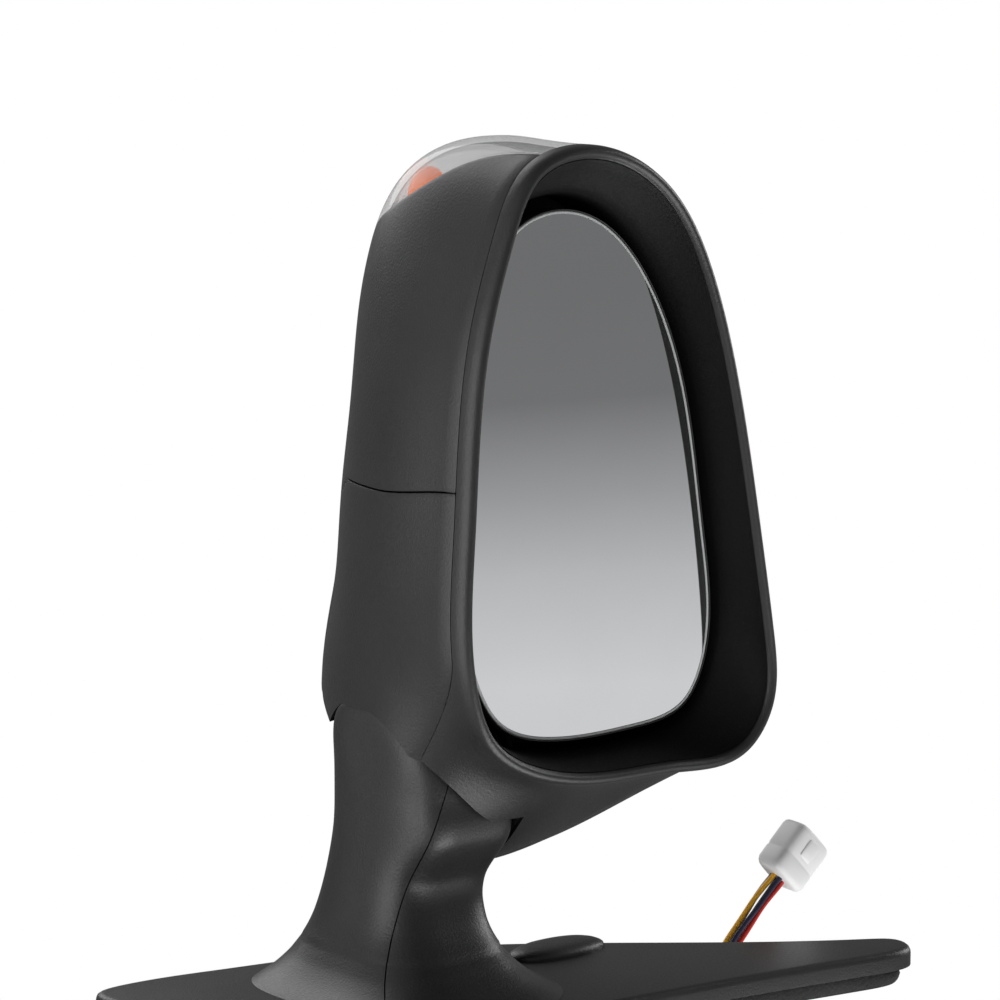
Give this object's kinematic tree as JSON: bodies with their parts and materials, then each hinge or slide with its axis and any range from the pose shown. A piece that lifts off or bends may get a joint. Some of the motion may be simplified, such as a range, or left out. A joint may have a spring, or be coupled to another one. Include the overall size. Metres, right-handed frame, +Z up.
{
  "type": "car side mirror",
  "caption": "Left-hand car side mirror: egg-shaped head with a tilting convex glass and a turn signal lens, on a folding arm and a window-corner foot with cable leads.",
  "frame": {"origin": "on the foot bracket's flat pad, in the door's mounting plane", "axes": "+X towards the door, -X outboard, +Y to the front of the car, +Z up"},
  "size_m": [0.3058, 0.1314, 0.2607],
  "materials": {
    "foot_bracket": "as cast",
    "sail_cover": "satin black, fine grain",
    "arm_lower_cover": "satin black, fine grain",
    "arm_rear_cover": "satin black, fine grain",
    "sail_plug": "satin black, fine grain",
    "foam_gasket": "black foam",
    "stud_1": "zinc plated",
    "stud_2": "zinc plated",
    "stud_3": "zinc plated",
    "cable_grommet": "matt rubber",
    "lead_red": "cable insulation",
    "lead_black": "cable insulation",
    "lead_grey": "cable insulation",
    "lead_yellow": "cable insulation",
    "lead_blue": "cable insulation",
    "connector": "white nylon",
    "pivot_post": "zinc plated",
    "detent_ring": "zinc plated",
    "spring_retainer": "zinc plated",
    "fold_spring": "zinc plated",
    "bezel": "satin black, fine grain",
    "front_cap": "satin black, fine grain",
    "lower_cover": "satin black, fine grain",
    "head_frame": "glass-filled nylon",
    "adjuster_case": "matt black",
    "adjuster_cover": "matt black",
    "adjuster_motor_1": "motor can",
    "adjuster_motor_2": "motor can",
    "adjuster_screw_1": "zinc plated",
    "adjuster_screw_2": "zinc plated",
    "adjuster_screw_3": "zinc plated",
    "signal_lens": "clear",
    "signal_housing": "light grey reflector",
    "signal_bulb": "amber coated",
    "bulb_socket": "grey",
    "tilt_ring": "acetal",
    "mirror_glass": "silvered, convex",
    "adhesive_pad": "foam tape",
    "glass_holder": "matt black",
    "spindle_vertical": "natural white acetal",
    "spindle_horizontal": "natural white acetal",
    "drive_gear_vertical": "natural white acetal",
    "drive_gear_horizontal": "natural white acetal"
  },
  "bodies": {
    "base": {"foot_bracket": "foot_bracket", "sail_cover": "sail_cover", "arm_lower_cover": "arm_lower_cover", "arm_rear_cover": "arm_rear_cover", "foam_gasket": "foam_gasket", "stud_1": "stud_1", "stud_2": "stud_2", "stud_3": "stud_3", "cable_grommet": "cable_grommet", "sail_plug": "sail_plug", "lead_red": "lead_red", "lead_black": "lead_black", "lead_grey": "lead_grey", "lead_yellow": "lead_yellow", "lead_blue": "lead_blue", "connector": "connector", "pivot_post": "pivot_post", "detent_ring": "detent_ring", "spring_retainer": "spring_retainer", "fold_spring": "fold_spring"},
    "head": {"bezel": "bezel", "front_cap": "front_cap", "lower_cover": "lower_cover", "head_frame": "head_frame", "adjuster_case": "adjuster_case", "adjuster_cover": "adjuster_cover", "adjuster_motor_1": "adjuster_motor_1", "adjuster_motor_2": "adjuster_motor_2", "adjuster_screw_1": "adjuster_screw_1", "adjuster_screw_2": "adjuster_screw_2", "adjuster_screw_3": "adjuster_screw_3", "signal_lens": "signal_lens", "signal_housing": "signal_housing", "signal_bulb": "signal_bulb", "bulb_socket": "bulb_socket"},
    "ring": {"tilt_ring": "tilt_ring"},
    "glass": {"mirror_glass": "mirror_glass", "adhesive_pad": "adhesive_pad", "glass_holder": "glass_holder"},
    "spindle_v": {"spindle_vertical": "spindle_vertical"},
    "spindle_h": {"spindle_horizontal": "spindle_horizontal"},
    "gear_v": {"drive_gear_vertical": "drive_gear_vertical"},
    "gear_h": {"drive_gear_horizontal": "drive_gear_horizontal"}
  },
  "joints": [
    {"name": "fold", "type": "hinge", "parent": "base", "child": "head", "pos_m": [-0.077, 0, 0.016], "axis": [0, 0, 1], "range_deg": [-60, 39]},
    {"name": "tilt_vertical", "type": "hinge", "parent": "head", "child": "ring", "pos_m": [-0.172, -0.024, 0.042], "axis": [1, 0, 0], "range_deg": [-6, 6]},
    {"name": "tilt_horizontal", "type": "hinge", "parent": "ring", "child": "glass", "pos_m": [-0.172, -0.024, 0.042], "axis": [0, 0, 1], "range_deg": [-6, 6]},
    {"name": "spindle_v_slide", "type": "slide", "parent": "head", "child": "spindle_v", "axis": [0, 1, 0], "range_m": [-0.003, 0.003]},
    {"name": "spindle_h_slide", "type": "slide", "parent": "head", "child": "spindle_h", "axis": [0, 1, 0], "range_m": [-0.003, 0.003]},
    {"name": "gear_v_spin", "type": "hinge", "parent": "head", "child": "gear_v", "pos_m": [-0.172, -0.0065, 0.016], "axis": [0, 1, 0], "range_deg": [-335, 335]},
    {"name": "gear_h_spin", "type": "hinge", "parent": "head", "child": "gear_h", "pos_m": [-0.198, -0.0065, 0.042], "axis": [0, 1, 0], "range_deg": [-335, 335]}
  ],
  "couplings": [
    {"joint": "spindle_v_slide", "follows": "tilt_vertical", "m_per_rad": 0.026},
    {"joint": "spindle_h_slide", "follows": "tilt_horizontal", "m_per_rad": -0.026},
    {"joint": "gear_v_spin", "follows": "tilt_vertical", "ratio": 54.454},
    {"joint": "gear_h_spin", "follows": "tilt_horizontal", "ratio": -54.454}
  ]
}
